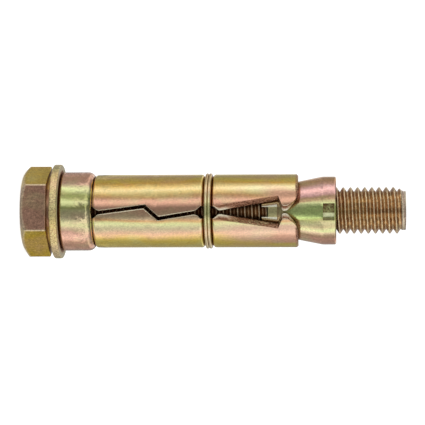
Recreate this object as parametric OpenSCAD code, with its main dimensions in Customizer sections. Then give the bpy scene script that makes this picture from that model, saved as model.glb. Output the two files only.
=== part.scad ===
// Loose-bolt shield anchor, standing on its hexagon head with the bolt's axis along +Z.
// Three pressed segments are held by a ferrule at one end and a wire ring at the waist.
// Turning the bolt draws the taper nut down between the segments and spreads them in the hole.

/* [Bolt] */
// Outside diameter of the thread
thread_d = 10; // [9:0.1:11]
// Length of the bolt under its head
bolt_length = 74.4; // [72:0.2:110]
// Hexagon size across its flats
head_flats = 16.8; // [16.5:0.1:18]
// Trimmed diameter over the hexagon's corners
head_corners = 19.3; // [18.8:0.1:20]
// Height of the head, with its washer face
head_h = 6.4; // [5.6:0.1:8]
// Height of the round washer face under the hexagon
washer_face_h = 0.8; // [0.2:0.1:1]
// Diameter of the washer face
washer_face_d = 15.8; // [14:0.1:16.4]
// Diameter of the flat circle on top of the head
head_top_d = 15.8; // [14:0.1:16.4]
// Slope of the chamfer round the top of the head, in degrees
head_chamfer = 30; // [20:1:40]
// Turn of the hexagon about the bolt, in degrees
head_turn = -8; // [-30:0.5:30]
// Diameter of the plain point at the end of the thread
point_d = 8.3; // [7.4:0.1:8.8]
// Length of the plain point
point_length = 0.8; // [0.4:0.1:3]

/* [Washer] */
// Outside diameter of the washer
washer_d = 20; // [18:0.5:30]
// How much wider the washer's hole is than the thread
washer_play = 0.5; // [0.3:0.1:1.5]
// Thickness of the washer
washer_t = 1.6; // [1:0.1:3]
// Rounding of the washer's rim
washer_rim = 0.3; // [0.1:0.05:0.45]

/* [Ferrule] */
// Sheet thickness of the ferrule
ferrule_wall = 0.6; // [0.4:0.05:1]
// Height of the ferrule
ferrule_length = 7; // [6:0.1:12]
// Outside radius where the wall turns into the end flange
ferrule_edge = 0.75; // [0.65:0.05:1.2]
// How much wider the hole in the end flange is than the thread
ferrule_play = 1.4; // [1:0.1:3]
// Outside radius of the rolled lip
lip_radius = 1.5; // [1.2:0.05:2]
// How far the lip is rolled in, in degrees
lip_roll = 66; // [55:1:75]

/* [Shield] */
// Sheet thickness of the segments
shield_wall = 1.8; // [1.6:0.05:2.4]
// Length of the segments beyond the ferrule
shield_length = 43.2; // [42:0.2:60]
// Length of the slight lead-in at the ferrule's end of the segments
lead_length = 1.95; // [1:0.05:4]
// Depth of that lead-in
lead_depth = 0.06; // [0.02:0.01:0.2]
// Distance from the ferrule to the middle of the ring groove
groove_at = 24.3; // [22:0.05:25.5]
// Width of the ring groove
groove_w = 2.6; // [2.2:0.1:3.4]
// Depth of the ring groove
groove_depth = 0.5; // [0.3:0.05:0.7]
// Chamfer round the outer end of the segments
end_chamfer = 0.35; // [0.1:0.05:0.6]
// Clear width of the split between two segments
split_gap = 0.6; // [0.4:0.05:0.9]
// Bevel along the edges of the split
split_bevel = 0.22; // [0.05:0.01:0.4]
// Sideways step of the interlocking split, to each side
zigzag_step = 1.25; // [0.6:0.05:1.6]
// Distance from the ferrule to the first corner of the zigzag
zigzag_start = 11.1; // [7:0.1:12]
// Length of the steep part of the zigzag
zigzag_length = 2.9; // [2.4:0.1:5]
// Half width of the split where it opens at the ferrule and the ring
flare_half = 1.25; // [0.8:0.05:1.5]
// Length of each of those openings
flare_length = 1.1; // [0.8:0.05:1.6]

/* [Window] */
// Half width of the window at its narrow end, at the outside
window_narrow = 0.78; // [0.7:0.02:1]
// Half width of the window at its wide end, at the outside
window_wide = 3.45; // [2.8:0.05:3.7]
// Bevel along the window's sides
window_bevel = 1; // [0.5:0.05:1.2]
// Corner radius at the wide end of the window
window_corner = 0.35; // [0.2:0.05:0.6]
// Clear width between the two lobes that close the window
lobe_gap = 0.8; // [0.6:0.05:1]
// Distance from the end of the window to the tips of the lobes
lobe_lead = 0.9; // [0.6:0.05:1.1]
// Length of the lobes' tips
lobe_tip = 1; // [0.9:0.05:1.2]
// Bevel on the tips of the lobes
lobe_bevel = 1.25; // [0.5:0.05:1.4]
// Rounding of the tips beside the window
lobe_radius = 0.55; // [0.3:0.05:0.6]
// Rounding of the tips on the other side
lobe_back_radius = 1.1; // [0.5:0.05:1.2]
// Half width between the lobes' shoulders
lobe_shoulder = 2.3; // [2:0.05:2.6]
// Distance from the shoulders to the end of the shield
lobe_shoulder_h = 0.45; // [0.3:0.05:0.8]
// Rounding of the shoulders
lobe_shoulder_radius = 2.2; // [1:0.1:2.4]
// Half width between the lobes at the end of the shield
lobe_root = 4.2; // [3.8:0.05:5]

/* [Taper nut] */
// Length of the nut
nut_length = 15.5; // [14.5:0.1:17]
// How far the nut stands out of the shield
nut_proud = 7.95; // [7:0.05:9]
// Wall round the thread at the nut's front end
nut_front_wall = 0.75; // [0.6:0.05:1]
// Length of the nut's plain band at the back
nut_band = 2.9; // [2:0.1:4]
// Half angle of the taper, in degrees
taper_angle = 11.4; // [9:0.1:12]
// Length of the taper
taper_length = 6.9; // [6:0.1:7.4]
// Rounding of the nut's back edge
nut_edge = 0.4; // [0.1:0.05:0.8]
// Length of the keys that stop the nut turning in the shield
key_length = 3.2; // [2.4:0.1:3.6]
// Half width of a key at its front
key_front = 1.35; // [1.2:0.05:1.4]
// Half width of a key at its back
key_back = 1.75; // [1.5:0.05:1.9]
// Height of a key over the nut's front end
key_height = 0.8; // [0.4:0.05:1.2]
// Half width of the notch in the front of each key
notch_half = 1.05; // [0.6:0.05:1.1]
// Depth of the notch, along the nut
notch_depth = 1.3; // [0.6:0.1:1.8]
// Width of each pocket in the nut's back band
pocket_w = 3.5; // [2:0.1:4]
// Length of each pocket
pocket_length = 2.4; // [1:0.1:2.6]
// Depth of each pocket
pocket_depth = 0.8; // [0.3:0.05:1.2]
// Rim left between the pockets and the nut's back face
pocket_rim = 0.35; // [0.2:0.05:0.6]

/* [Wire ring] */
// Diameter of the wire
wire_d = 0.68; // [0.5:0.02:0.8]
// Turns of wire side by side
ring_turns = 2; // [1:1:2]

/* [Fits] */
// Running clearance between the bolt and the nut, on the radius
thread_clearance = 0.05; // [0.02:0.01:0.1]
// Clearance between the nut and the segments
taper_clearance = 0.15; // [0.1:0.01:0.2]
// Clearance between the ferrule and the parts inside it
ferrule_clearance = 0.2; // [0.1:0.02:0.3]
// Clearance between the wire ring and the floor of its groove
ring_clearance = 0.07; // [0.05:0.01:0.2]
// Clearance between faces that meet end to end
face_clearance = 0.05; // [0.02:0.01:0.2]

/* [Hidden] */
$fn = 96;

segment_count = 3;
segment_angle = 360 / segment_count;
// The first split faces -Y
first_split = -90;
arc_steps = 5;
// Rounding of the corners along the split
flare_corner = 0.2;
flare_round = 0.7;
zigzag_round = 0.4;
// Share of a turn in which the wire steps over to the next turn
ring_cross = 0.14;
bevel_tilt = 45;
over = 1;
zinc_gold = [0.80, 0.68, 0.38];
zinc_rose = [0.82, 0.62, 0.48];
zinc_green = [0.70, 0.72, 0.45];
zinc_bronze = [0.62, 0.50, 0.28];

// Radii from the thread outwards
thread_r = thread_d / 2;
nut_bore_r = thread_r + thread_clearance;
nut_front_r = nut_bore_r + nut_front_wall;
nut_back_r = nut_front_r + taper_length * tan(taper_angle);
shield_inner_r = nut_front_r + taper_clearance;
shield_r = shield_inner_r + shield_wall;
ferrule_inner_r = shield_r;
ferrule_r = ferrule_inner_r + ferrule_wall;
foot_r = ferrule_inner_r - ferrule_clearance;
lip_centre_r = ferrule_r - lip_radius;
lip_inner_r = lip_centre_r + (lip_radius - ferrule_wall) * cos(lip_roll);
neck_r = lip_inner_r - ferrule_clearance;
groove_floor_r = shield_r - groove_depth;
ring_r = groove_floor_r + ring_clearance + wire_d / 2;

// Heights from the top of the head, which the anchor stands on
hex_h = head_h - washer_face_h;
bolt_end = head_h + bolt_length;
washer_top = head_h + washer_t;
ferrule_bottom = washer_top + face_clearance;
ferrule_top = ferrule_bottom + ferrule_length;
lip_centre_z = ferrule_top - lip_radius * sin(lip_roll);
foot_bottom = ferrule_bottom + ferrule_wall + ferrule_clearance;
foot_top = lip_centre_z + (lip_radius - ferrule_wall) / 4;
body_bottom = ferrule_top + ferrule_clearance;
shield_top = ferrule_top + shield_length;
ring_z = ferrule_top + groove_at;
groove_bottom = ring_z - groove_w / 2;
groove_top = ring_z + groove_w / 2;
nut_back_z = shield_top + nut_proud;
nut_front_z = nut_back_z - nut_length;
taper_top = nut_back_z - nut_band;
taper_bottom = taper_top - taper_length;
key_top = nut_front_z + key_length;
window_bottom = groove_top + flare_length;
window_top = key_top + face_clearance + taper_clearance;

// Where the segments' bore opens out to follow the nut's taper
bore_end_r = nut_front_r + (shield_top - taper_bottom) * tan(taper_angle) + taper_clearance;
bore_taper_z = shield_top - (bore_end_r - shield_inner_r) / tan(taper_angle);

function unit(v) = v / norm(v);
function turn(v, a) = [v.x * cos(a) - v.y * sin(a), v.x * sin(a) + v.y * cos(a)];
function left_of(a, b) = let (u = unit(b - a)) [u.y, -u.x];

// Points of the arc that rounds the corner b between its neighbours a and c
function corner_arc(a, b, c, r) =
    let (u = unit(a - b), v = unit(c - b), half = acos(u * v) / 2,
         middle = b + unit(u + v) * r / sin(half),
         from = b + u * r / tan(half) - middle,
         sweep = (180 - 2 * half) * (u.x * v.y - u.y * v.x > 0 ? -1 : 1))
    [for (k = [0 : arc_steps]) middle + turn(from, sweep * k / arc_steps)];

// A line of points with the corners rounded, where radii gives each corner's radius
function rounded(points, radii) =
    [for (i = [0 : len(points) - 1])
        each i == 0 || i == len(points) - 1 || radii[i] == 0
            ? [points[i]]
            : corner_arc(points[i - 1], points[i], points[i + 1], radii[i])];

// Points of an arc in the radius and height plane
function arc(centre, r, from, to, steps) =
    [for (k = [0 : steps]) let (a = from + (to - from) * k / steps) centre + r * [cos(a), sin(a)]];

// The split between two segments, as [height, middle, half width through, half width outside, corner radius]
split_half = split_gap / 2;
split_outside = split_half + split_bevel;
flare_outside = flare_half + split_bevel;
lobe_half = lobe_gap / 2;
zigzag_end = zigzag_start + zigzag_length;
split_stations = [
    [foot_bottom - over, 0, flare_half, flare_outside, 0],
    [body_bottom, 0, flare_half, flare_outside, flare_corner],
    [body_bottom + flare_length, 0, split_half, split_outside, flare_round],
    [ferrule_top + zigzag_start, -zigzag_step, split_half, split_outside, zigzag_round],
    [ferrule_top + zigzag_end, zigzag_step, split_half, split_outside, zigzag_round],
    [groove_bottom - flare_length, 0, split_half, split_outside, flare_round],
    [groove_bottom, 0, flare_half, flare_outside, flare_corner],
    [groove_top, 0, flare_half, flare_outside, flare_corner],
    [window_bottom, 0, split_half, window_narrow, flare_round],
    [window_top, 0, window_wide - window_bevel, window_wide, window_corner],
    [window_top + lobe_lead, 0, lobe_half, lobe_half + lobe_bevel, lobe_radius],
    [window_top + lobe_lead + lobe_tip, 0, lobe_half, lobe_half + lobe_bevel, lobe_back_radius],
    [shield_top - lobe_shoulder_h, 0, lobe_shoulder, lobe_shoulder + split_bevel, lobe_shoulder_radius],
    [shield_top, 0, lobe_root, lobe_root + split_bevel, end_chamfer],
    [shield_top + face_clearance, 0, 2 * shield_r, 2 * shield_r, 0]
];
split_middle = [for (s = split_stations) [s[1], s[0]]];
split_corners = [for (s = split_stations) s[4]];

// Sideways direction in which an edge stands off the middle of the split at station i
function stand_off(i) =
    i == 0 || i == len(split_middle) - 1
        ? [1, 0]
        : let (a = left_of(split_middle[i - 1], split_middle[i]),
               b = left_of(split_middle[i], split_middle[i + 1])) (a + b) / (1 + a * b);

// One edge of the split, on the side +1 or -1, by the half widths in the given column
function split_edge(side, column) =
    rounded([for (i = [0 : len(split_stations) - 1])
                split_middle[i] + side * split_stations[i][column] * stand_off(i)],
            split_corners);

// Where a bevel that leans by bevel_tilt has to start, to meet the outside at the offset y
function leaning(y) =
    let (inside = min(abs(y), shield_r))
    y * cos(bevel_tilt) + (shield_r - sqrt(shield_r * shield_r - inside * inside)) * sin(bevel_tilt);

// Stands a drawing of the split, across and along, on the +X side and cuts outwards by depth
module radially(from, depth) {
    translate([from, 0, 0]) rotate([90, 0, 90]) linear_extrude(depth) children();
}

// Everything on one side of the split, through the whole sleeve
module beside_split(side) {
    reach = side * 3 * shield_r;
    radially(-2 * shield_r, 4 * shield_r)
        polygon(concat(split_edge(side, 2), [[reach, shield_top + over], [reach, foot_bottom - over]]));
}

// What the bevel takes off the edge on one side of the split
module edge_bevel(side) {
    depth = shield_wall + split_gap;
    reach = -side * shield_r;
    translate([shield_r, 0, 0]) rotate([0, 0, side * bevel_tilt])
        radially(-depth, 2 * depth)
            polygon(concat([for (p = split_edge(side, 3)) [side * leaning(side * p.x), p.y]],
                           [[reach, shield_top + over], [reach, foot_bottom - over]]));
}

// The pressed sleeve that the segments are parts of: foot, neck, body, ring groove and tapered mouth
module shield_sleeve() {
    inner_bead_r = shield_inner_r - groove_depth + taper_clearance;
    shoulder = groove_depth;
    neck_rise = shield_r - neck_r;
    rotate_extrude()
        polygon([
            [shield_inner_r, foot_bottom],
            [foot_r - ferrule_clearance, foot_bottom],
            [foot_r, foot_bottom + ferrule_clearance],
            [foot_r, foot_top],
            [neck_r, foot_top + (foot_r - neck_r)],
            [neck_r, body_bottom],
            [shield_r - neck_rise / 2, body_bottom],
            [shield_r - lead_depth, body_bottom + neck_rise / 2 - lead_depth],
            [shield_r, body_bottom + lead_length],
            [shield_r, groove_bottom],
            [groove_floor_r, groove_bottom + shoulder],
            [groove_floor_r, groove_top - shoulder],
            [shield_r, groove_top],
            [shield_r, shield_top - end_chamfer],
            [shield_r - end_chamfer, shield_top],
            [bore_end_r, shield_top],
            [shield_inner_r, bore_taper_z],
            [shield_inner_r, groove_top + shoulder],
            [inner_bead_r, groove_top],
            [inner_bead_r, groove_bottom],
            [shield_inner_r, groove_bottom - shoulder]
        ]);
}

module hex_bolt() {
    corner_r = head_corners / 2;
    top_r = head_top_d / 2;
    chamfer_h = (corner_r - top_r) * tan(head_chamfer);
    point_slope = thread_r - point_d / 2;
    color(zinc_bronze) union() {
        rotate(head_turn) intersection() {
            cylinder(h = hex_h, r = head_flats / 2 / cos(30), $fn = 6);
            rotate_extrude()
                polygon([[0, 0], [top_r, 0], [corner_r, chamfer_h], [corner_r, hex_h], [0, hex_h]]);
        }
        rotate_extrude()
            polygon([[0, hex_h / 2], [washer_face_d / 2, hex_h / 2], [washer_face_d / 2, head_h],
                     [thread_r, head_h], [thread_r, bolt_end - point_length - point_slope],
                     [point_d / 2, bolt_end - point_length], [point_d / 2, bolt_end], [0, bolt_end]]);
    }
}

module flat_washer() {
    rim_r = washer_d / 2 - washer_rim;
    hole_r = thread_r + washer_play / 2;
    color(zinc_gold) rotate_extrude()
        polygon(concat(
            [[hole_r, head_h]],
            arc([rim_r, head_h + washer_rim], washer_rim, -90, 0, arc_steps),
            arc([rim_r, washer_top - washer_rim], washer_rim, 0, 90, arc_steps),
            [[hole_r, washer_top]]));
}

module ferrule() {
    hole_r = thread_r + ferrule_play / 2;
    lip_centre = [lip_centre_r, lip_centre_z];
    edge_centre = [ferrule_r - ferrule_edge, ferrule_bottom + ferrule_edge];
    color(zinc_green) rotate_extrude()
        polygon(concat(
            [[hole_r, ferrule_bottom]],
            arc(edge_centre, ferrule_edge, -90, 0, arc_steps),
            arc(lip_centre, lip_radius, 0, lip_roll, 2 * arc_steps),
            arc(lip_centre, lip_radius - ferrule_wall, lip_roll, 0, 2 * arc_steps),
            arc(edge_centre, ferrule_edge - ferrule_wall, 0, -90, arc_steps),
            [[hole_r, ferrule_bottom + ferrule_wall]]));
}

// One segment of the shield, counted from the first split
module shield_segment(index) {
    color(zinc_rose) rotate(first_split + (index - 1) * segment_angle)
        difference() {
            intersection() {
                shield_sleeve();
                beside_split(1);
                rotate(segment_angle) beside_split(-1);
            }
            edge_bevel(1);
            rotate(segment_angle) edge_bevel(-1);
        }
}

// How many turns high the wire lies after t turns: each turn is flat and steps up at its end
function ring_level(t) =
    let (u = max(0, (t - floor(t) - 1 + ring_cross) / ring_cross)) floor(t) + u * u * (3 - 2 * u);

// The ring is a coil of round wire with its ends at the back, swept as rings of points along its turns
module wire_ring() {
    sides = 10;
    steps = 50 * ring_turns;
    rise = wire_d + ring_clearance / 2;
    points = [for (i = [0 : steps])
                let (t = (ring_turns - ring_cross) * i / steps,
                     a = 360 * t - first_split,
                     z = ring_z + rise * (ring_level(t) - (ring_turns - 1) / 2))
                for (k = [0 : sides - 1])
                    let (b = 360 * k / sides, r = ring_r + wire_d / 2 * cos(b))
                    [r * cos(a), r * sin(a), z + wire_d / 2 * sin(b)]];
    walls = [for (i = [0 : steps - 1], k = [0 : sides - 1])
                let (a = i * sides + k, b = i * sides + (k + 1) % sides)
                each [[a, b + sides, b], [a, a + sides, b + sides]]];
    start = [for (k = [0 : sides - 1]) k];
    end = [for (k = [0 : sides - 1]) (steps + 1) * sides - 1 - k];
    color(zinc_gold) polyhedron(points, concat(walls, [start, end]));
}

// A key on the nut, standing on the +X side, with its notch still to be cut
module nut_key() {
    intersection() {
        radially(nut_bore_r, nut_front_wall + key_height + over)
            polygon([[-key_front, nut_front_z], [key_front, nut_front_z],
                     [key_back, key_top], [-key_back, key_top]]);
        cylinder(h = nut_back_z, r = nut_front_r + key_height);
    }
}

module taper_nut() {
    edge_centre = [nut_back_r - nut_edge, nut_back_z - nut_edge];
    color(zinc_rose) difference() {
        union() {
            rotate_extrude()
                polygon(concat(
                    [[nut_bore_r, nut_front_z], [nut_front_r, nut_front_z],
                     [nut_front_r, taper_bottom], [nut_back_r, taper_top]],
                    arc(edge_centre, nut_edge, 0, 90, arc_steps),
                    [[nut_bore_r, nut_back_z]]));
            for (i = [0 : segment_count - 1])
                rotate(first_split + i * segment_angle) nut_key();
        }
        translate([0, 0, nut_front_z - over])
            cylinder(h = nut_length + 2 * over, r = nut_bore_r);
        for (i = [0 : segment_count - 1])
            rotate(first_split + i * segment_angle) {
                translate([nut_bore_r - over, -notch_half, nut_front_z - over])
                    cube([nut_front_wall + key_height + 2 * over, 2 * notch_half, notch_depth + over]);
                translate([nut_back_r - pocket_depth, -pocket_w / 2,
                           nut_back_z - pocket_rim - pocket_length])
                    cube([pocket_depth + over, pocket_w, pocket_length]);
            }
    }
}

hex_bolt();
flat_washer();
ferrule();
shield_segment(1);  // shield_segment_1
shield_segment(2);  // shield_segment_2
shield_segment(3);  // shield_segment_3
wire_ring();
taper_nut();
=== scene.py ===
import math

import bmesh
import bpy
import numpy as np
from mathutils import Matrix, Vector, geometry


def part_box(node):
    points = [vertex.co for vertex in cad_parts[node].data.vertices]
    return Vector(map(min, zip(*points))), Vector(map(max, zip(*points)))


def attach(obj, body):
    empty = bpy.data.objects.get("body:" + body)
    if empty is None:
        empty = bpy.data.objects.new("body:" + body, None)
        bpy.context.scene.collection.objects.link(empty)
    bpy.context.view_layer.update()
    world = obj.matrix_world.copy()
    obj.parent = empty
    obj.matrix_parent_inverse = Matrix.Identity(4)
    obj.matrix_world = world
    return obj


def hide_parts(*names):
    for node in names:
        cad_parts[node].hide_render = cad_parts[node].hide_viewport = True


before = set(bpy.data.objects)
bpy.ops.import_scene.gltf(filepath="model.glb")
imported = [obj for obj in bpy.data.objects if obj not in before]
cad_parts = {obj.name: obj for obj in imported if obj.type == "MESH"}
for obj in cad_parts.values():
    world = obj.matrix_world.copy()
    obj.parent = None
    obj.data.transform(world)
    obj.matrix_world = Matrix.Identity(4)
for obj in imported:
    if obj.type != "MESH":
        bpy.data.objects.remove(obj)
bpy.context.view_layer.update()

# A loose-bolt shield anchor, yellow zinc plated, standing on its hexagon head.
# Sizes are in millimetres and heights are measured from the top of the head. A value called run is
# the short way in which a step is made, and one called worn or bare is a share of a finish, which in
# places also stands for a painted highlight. One called dark or shade is a share of painted shade.
MM = 0.001
TINY = 1e-6
QUARTER = math.pi / 2


def box_mm(node):
    low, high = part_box(node)
    return low / MM, high / MM


# Sizes taken from the frame
washer_low, washer_high = box_mm("flat_washer")
ferrule_low, ferrule_high = box_mm("ferrule")
ring_low, ring_high = box_mm("wire_ring")
nut_low, nut_high = box_mm("taper_nut")
segment_low, segment_high = box_mm("shield_segment_1")
bolt_end = box_mm("hex_bolt")[1].z
head_h = washer_low.z
washer_top = washer_high.z
washer_r = washer_high.x
ferrule_bottom = ferrule_low.z
ferrule_top = ferrule_high.z
ferrule_r = ferrule_high.x
foot_bottom = segment_low.z
shield_top = segment_high.z
nut_front_z = nut_low.z
nut_back_z = nut_high.z
ring_z = (ring_low.z + ring_high.z) / 2

# The bolt, with corner_wear as an angle
thread_r = 4.9
thread_root_r = 4.02
thread_flank_r = (thread_r + thread_root_r) / 2
thread_pitch = 1.5
thread_crest = 0.2
thread_crest_rounding = 0.05
thread_root_flat = 0.16
thread_root_rounding = 0.07
thread_shift = -0.22
crest_wear = 0.1
head_flat_r = 8.4
head_corner_r = 9.65
head_trim = math.acos(head_flat_r / head_corner_r)
head_top_r = 7.9
head_cap_r = head_top_r - 1.0
head_chamfer = math.radians(30)
head_turn = math.radians(-8)
head_top_rounding = 0.18
head_chamfer_rounding = 0.14
head_under_rounding = 0.3
corner_wear = 0.016
corner_worn = 0.8
rim_wear = 0.5
rim_worn = 0.6
washer_face_r = 7.9
washer_face_h = 0.8
washer_face_rounding = 0.08
point_r = 4.15
point_length = 0.8

# The washer
washer_hole_r = 5.25
washer_rim = 0.3
washer_chamfer = 0.1
washer_face_depth = 0.02
washer_bare = 0.7

# The ferrule, and the painted shade in the crevice between it and the washer
ferrule_wall = 0.6
ferrule_edge = 0.75
ferrule_hole_r = 5.7
lip_radius = 1.5
lip_roll = math.radians(66)
lip_centre = (ferrule_r - lip_radius, ferrule_top - lip_radius * math.sin(lip_roll))
crevice = 0.6
crevice_shade = 1.4

# The shield's sleeve
shield_r = 7.75
shield_inner_r = 5.95
ferrule_gap = 0.2
body_bottom = ferrule_top + ferrule_gap
foot_r = 7.55
neck_r = 7.016
foot_top = lip_centre[1] + (lip_radius - ferrule_wall) / 4
lead_length = 1.95
lead_depth = 0.06
groove_w = 2.6
groove_depth = 0.5
groove_floor_r = shield_r - groove_depth
groove_bottom = ring_z - groove_w / 2
groove_top = ring_z + groove_w / 2
inner_bead_r = 5.6
end_chamfer = 0.35
neck_run = 0.01
lead_rounding = 0.2
groove_rim_rounding = 0.22
groove_floor_rounding = 0.12
end_rounding = 0.2

# The nut
nut_bore_r = 5.05
nut_front_r = 5.8
nut_band = 2.9
taper_length = 6.9
taper_slope = math.tan(math.radians(11.4))
nut_back_r = nut_front_r + taper_length * taper_slope
nut_edge = 0.4
taper_front_rounding = 0.6
taper_back_rounding = 0.35
taper_top = nut_back_z - nut_band
taper_bottom = taper_top - taper_length
key_length = 3.2
key_front = 1.35
key_back = 1.75
key_r = 6.6
key_bevel = 0.2
key_top = nut_front_z + key_length
notch_half = 1.05
notch_depth = 1.3
notch_z = nut_front_z + notch_depth
pocket_length = 2.4
pocket_depth = 0.8
pocket_shallow = 0.5
pocket_step = notch_half
pocket_rim = 0.35
pocket_top = nut_back_z - pocket_rim
pocket_bottom = pocket_top - pocket_length
# Painted shade in the pocket's deeper half
pocket_shade = 1.2
# Painted highlight on the pocket's shallow ledge
ledge_highlight = 0.5
wall_run = 0.03
bore_room = 0.15
bore_end_r = nut_front_r + (shield_top - taper_bottom) * taper_slope + bore_room
bore_taper_z = shield_top - (bore_end_r - shield_inner_r) / taper_slope

# The split between two segments
SEGMENTS = 3
first_split = math.radians(-90)
split_step = math.tau / SEGMENTS
split_half = 0.3
split_bevel = 0.22
split_outside = split_half + split_bevel
zigzag_step = 1.25
zigzag_start = ferrule_top + 11.1
zigzag_end = zigzag_start + 2.9
zigzag_rounding = 0.4
flare_half = 1.25
flare_outside = flare_half + split_bevel
flare_length = 1.1
flare_rounding = 0.2
mouth_rounding = 1.5
window_bottom = groove_top + flare_length
window_top = key_top + 0.2
window_narrow = 1.5
window_wide = 3.45
window_bevel = 1.0
lobe_half = 0.2
lobe_bevel = 1.15
lobe_outside = lobe_half + lobe_bevel
lobe_start = window_top + 0.9
lobe_end = lobe_start + 1.0
lobe_shoulder = 2.3
lobe_shoulder_z = shield_top - 0.45
lobe_root = 4.2
edge_rounding = 0.18
lobe_rounding = 0.3
least_bevel = 0.03
foot_room = 0.05
foot_run = 0.06
crease_at = 0.12
lip_step = 0.25
lip_slope = 0.3
# Painted shade at the lips' outer corners
lip_shade = 1.4
# Painted highlight on the lips, which also clears them of the torn colour
lip_highlight = 0.95
lip_highlight_lift = 0.9
# Painted shade in the lips' creases
crease_shade = 1.7
# The split's edges are rubbed pale, partly wear and partly a painted highlight
split_wear_and_highlight = 0.9

# Height, middle, half width through the wall, half width outside, and corner radius along the split
SPLIT_STATIONS = [
    (foot_bottom - 1, 0, flare_half, flare_outside, 0),
    (body_bottom, 0, flare_half, flare_outside, flare_rounding),
    (body_bottom + flare_length, 0, split_half, split_outside, mouth_rounding),
    (zigzag_start, -zigzag_step, split_half, split_outside, zigzag_rounding),
    (zigzag_end, zigzag_step, split_half, split_outside, zigzag_rounding),
    (groove_bottom - flare_length, 0, split_half, split_outside, mouth_rounding),
    (groove_bottom, 0, flare_half, flare_outside, flare_rounding),
    (groove_top, 0, flare_half, flare_outside, flare_rounding),
    (window_bottom, 0, split_half, window_narrow, 0.7),
    (window_top, 0, window_wide - window_bevel, window_wide, 0.35),
    (lobe_start, 0, lobe_half, lobe_outside, 0.55),
    (lobe_end, 0, lobe_half, lobe_outside, 1.1),
    (lobe_shoulder_z, 0, lobe_shoulder, lobe_shoulder + split_bevel, 2.2),
    (shield_top, 0, lobe_root, lobe_root + split_bevel, end_chamfer),
    (shield_top + 0.05, 0, 2 * shield_r, 2 * shield_r, 0),
]
HEIGHT = 0
MIDDLE = 1
THROUGH = 2
OUTSIDE = 3
ROUNDING = 4

# The wire ring
wire_r = 0.34
ring_r = ring_high.x - wire_r
ring_rise = (ring_high.z - ring_low.z) - 2 * wire_r
ring_turns = 2
ring_cross = 0.14
ring_tongue = 1.9
ring_sheath = 0.8

# The photograph's frame and the camera that took it
photo_px = 425
photo_scale = 4.714
camera_distance = 410
camera_turn = math.radians(-2.2)
camera_z = 66.5
aim_z = 40.0
aim_drop = 0.32
camera_roll = math.radians(0.2)
sensor_mm = 36

# How finely the meshes are built
LATHE_STEPS = 180
HEAD_STEPS = 3
FLAT_STEPS = 11
EDGE_STEPS = 6
ARC_STEPS = 40
WIRE_SIDES = 20
TONGUE_STEPS = 6
NOTCH_STEPS = 3
NUT_STEPS = 12
row_least = 0.03
row_most = 1.2
nut_row_least = 0.004
merge_mm = 0.002
sliver_mm = 0.001
most_of_line = 0.48


# Outlines

def arc(centre, radius, start, end, steps):
    angles = np.linspace(start, end, steps + 1)
    return [(centre[0] + radius * math.cos(a), centre[1] + radius * math.sin(a)) for a in angles]


def eased(points, cuts, steps=4):
    """The line with each corner cut back by the given length and replaced by a short curve."""
    line = []
    last = len(points) - 1
    for i, (point, cut) in enumerate(zip(points, cuts)):
        if cut == 0 or i == 0 or i == last:
            line.append(tuple(point))
            continue
        here = Vector(point)
        before = Vector(points[i - 1]) - here
        after = Vector(points[i + 1]) - here
        reach = min(cut, most_of_line * before.length, most_of_line * after.length)
        start = here + before.normalized() * reach
        end = here + after.normalized() * reach
        for k in range(steps + 1):
            t = k / steps
            line.append(tuple(start * (1 - t) ** 2 + here * 2 * t * (1 - t) + end * t ** 2))
    return line


def corner_arc(a, b, c, radius, steps=8):
    """Points of the arc that rounds the corner b between its neighbours a and c."""
    u = (a - b).normalized()
    v = (c - b).normalized()
    half = math.acos(max(-1, min(1, u.dot(v)))) / 2
    middle = b + (u + v).normalized() * radius / math.sin(half)
    start = b + u * radius / math.tan(half) - middle
    turn = -1 if u.x * v.y - u.y * v.x > 0 else 1
    sweep = turn * (math.pi - 2 * half)
    return [middle + Matrix.Rotation(sweep * k / steps, 2) @ start for k in range(steps + 1)]


def split_edge(side, column):
    """One edge of the split as heights and sideways offsets, on the side +1 or -1."""
    middle = [Vector((station[MIDDLE], station[HEIGHT])) for station in SPLIT_STATIONS]
    points = []
    for i, station in enumerate(SPLIT_STATIONS):
        if i in (0, len(middle) - 1):
            off = Vector((1, 0))
        else:
            before = (middle[i] - middle[i - 1]).normalized()
            after = (middle[i + 1] - middle[i]).normalized()
            a = Vector((before.y, -before.x))
            b = Vector((after.y, -after.x))
            off = (a + b) / (1 + a.dot(b))
        points.append(middle[i] + side * station[column] * off)
    line = []
    for i, point in enumerate(points):
        radius = SPLIT_STATIONS[i][ROUNDING]
        if radius == 0:
            line.append(point)
        else:
            line += corner_arc(points[i - 1], point, points[i + 1], radius)
    return [p.y for p in line], [p.x for p in line]


# Meshes

def polar(radius, angle, z):
    return (radius * math.cos(angle), radius * math.sin(angle), z)


def turned(point, angle):
    x, y, z = point
    c = math.cos(angle)
    s = math.sin(angle)
    return (x * c - y * s, x * s + y * c, z)


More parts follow.
